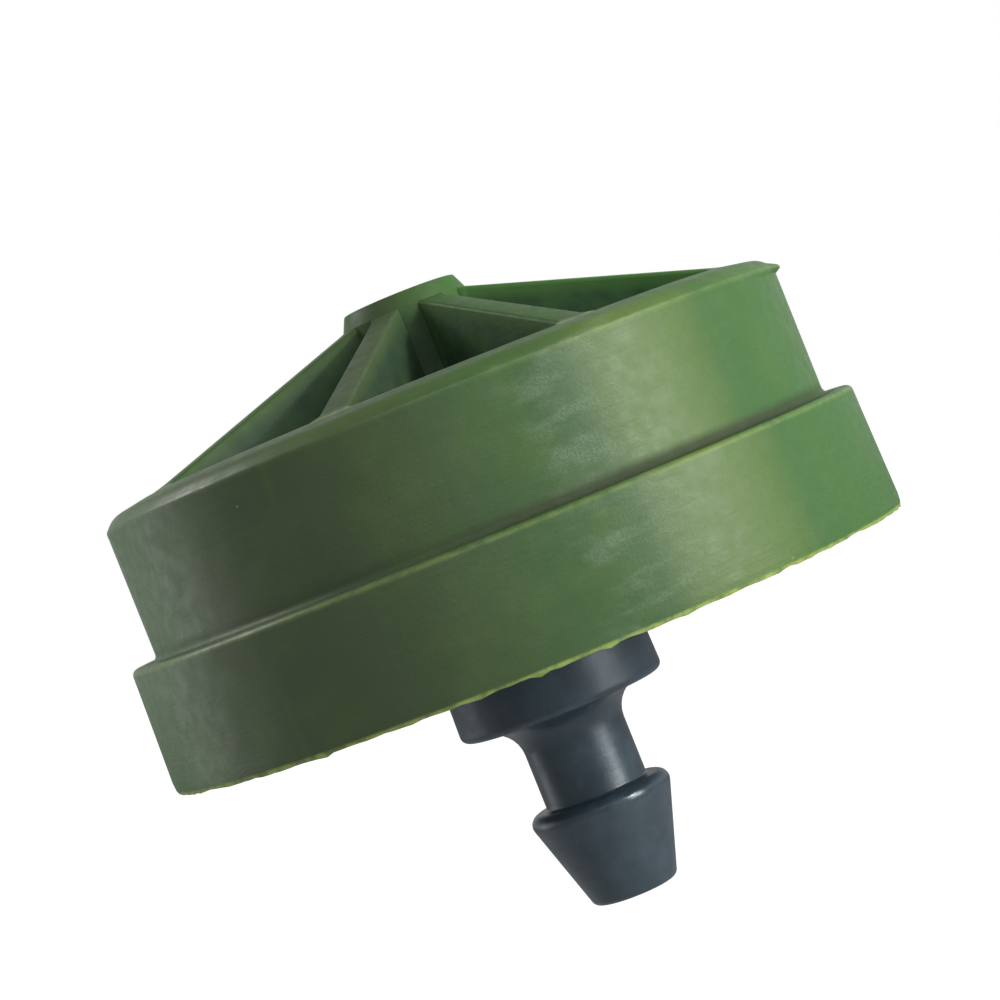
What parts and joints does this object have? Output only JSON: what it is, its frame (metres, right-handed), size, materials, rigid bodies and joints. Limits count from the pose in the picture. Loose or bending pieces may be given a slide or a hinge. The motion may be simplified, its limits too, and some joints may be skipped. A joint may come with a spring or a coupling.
{
  "type": "drip emitter",
  "caption": "Round pressure-compensating drip emitter: two-step ribbed cover with a central outlet hub, over a flanged base with a single hose barb.",
  "frame": {"origin": "centre of the flange's underside, the plane that seats on the outside of the hose wall", "axes": "+Z along the dripper's axis from the barb to the outlet hub; +X and +Y each run along a rib of the cover"},
  "size_m": [0.024, 0.024, 0.0199],
  "materials": {
    "base_plastic": "black moulded polypropylene, satin",
    "insert_plastic": "natural acetal, satin",
    "silicone": "smooth translucent silicone",
    "cover_plastic": "olive green moulded polypropylene, satin, lightly scuffed"
  },
  "bodies": {
    "base": {"inlet_base": "base_plastic", "flow_path_insert": "insert_plastic"},
    "cover": {"cover": "cover_plastic"},
    "diaphragm": {"diaphragm": "silicone"}
  },
  "joints": [
    {"name": "cover_lift", "type": "slide", "parent": "base", "child": "cover", "axis": [0, 0, 1], "range_m": [0, 0.012]},
    {"name": "diaphragm_lift", "type": "slide", "parent": "base", "child": "diaphragm", "axis": [0, 0, 1], "range_m": [0, 0.00035]}
  ]
}
